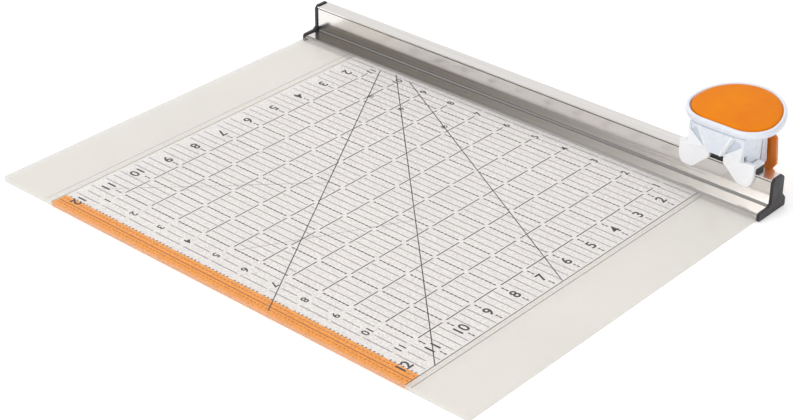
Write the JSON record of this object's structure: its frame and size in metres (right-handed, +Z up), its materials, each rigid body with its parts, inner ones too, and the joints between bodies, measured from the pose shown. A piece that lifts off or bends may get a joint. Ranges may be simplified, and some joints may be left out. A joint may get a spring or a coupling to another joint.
{
  "type": "rail-guided rotary paper and fabric trimmer",
  "caption": "Clear measuring ruler with an aluminium guide rail, on which a sprung rotary-cutter carriage with a domed palm grip slides, and a hinged blade guard.",
  "frame": {"origin": "centre of the ruler plate's underside, which rests on the table", "axes": "+X along the guide rail, +Y across the plate towards the rail, +Z up"},
  "size_m": [0.4064, 0.3539, 0.0599],
  "materials": {
    "clear_acrylic": "clear polished acrylic sheet with printed lines",
    "rail_aluminium": "extruded, satin anodised",
    "cap_plastic": "moulded, fine grain",
    "screw_steel": "zinc plated",
    "block_plastic": "moulded acetal",
    "glide_plastic": "low-friction pad",
    "foot_plastic": "smooth moulded",
    "post_steel": "ground and polished",
    "spring_steel": "drawn spring wire",
    "shell_plastic": "moulded, faceted",
    "rim_plastic": "moulded",
    "grip_rubber": "soft over-moulded grip",
    "blade_steel": "ground cutting edge",
    "bolt_steel": "machined",
    "nut_plastic": "knurled edge",
    "guard_plastic": "moulded"
  },
  "bodies": {
    "ruler": {"ruler_plate": "clear_acrylic", "guide_rail": "rail_aluminium", "end_cap_left": "cap_plastic", "end_cap_right": "cap_plastic", "rail_screws": "screw_steel"},
    "carriage": {"slide_block": "block_plastic", "top_glide_pads": "glide_plastic", "side_glide_pads": "glide_plastic", "guide_foot_left": "foot_plastic", "guide_foot_right": "foot_plastic", "foot_ledges": "foot_plastic", "edge_runners": "block_plastic", "foot_screws": "screw_steel", "guide_posts": "post_steel", "return_spring_left": "spring_steel", "return_spring_right": "spring_steel"},
    "handle": {"handle_shell": "shell_plastic", "handle_rim": "rim_plastic", "grip_pad": "grip_rubber", "handle_screws": "screw_steel", "blade_holder": "shell_plastic", "axle_bolt": "bolt_steel", "wave_washer": "spring_steel", "blade_nut": "nut_plastic", "hinge_pin": "post_steel"},
    "blade": {"rotary_blade": "blade_steel"},
    "guard": {"blade_guard": "guard_plastic"}
  },
  "joints": [
    {"name": "carriage_slide", "type": "slide", "parent": "ruler", "child": "carriage", "axis": [1, 0, 0], "range_m": [-0.33, 0.0105]},
    {"name": "handle_press", "type": "slide", "parent": "carriage", "child": "handle", "axis": [0, 0, -1], "range_m": [0, 0.004], "stiffness_N_per_m": 1500, "springref_m": -0.0025, "deforming": ["return_spring_left", "return_spring_right"]},
    {"name": "blade_spin", "type": "hinge", "parent": "handle", "child": "blade", "pos_m": [0.16, 0.16045, 0.0265], "axis": [0, 1, 0], "continuous": true},
    {"name": "guard_hinge", "type": "hinge", "parent": "handle", "child": "guard", "pos_m": [0.16, 0.172, 0.044], "axis": [1, 0, 0], "range_deg": [0, 90]}
  ]
}
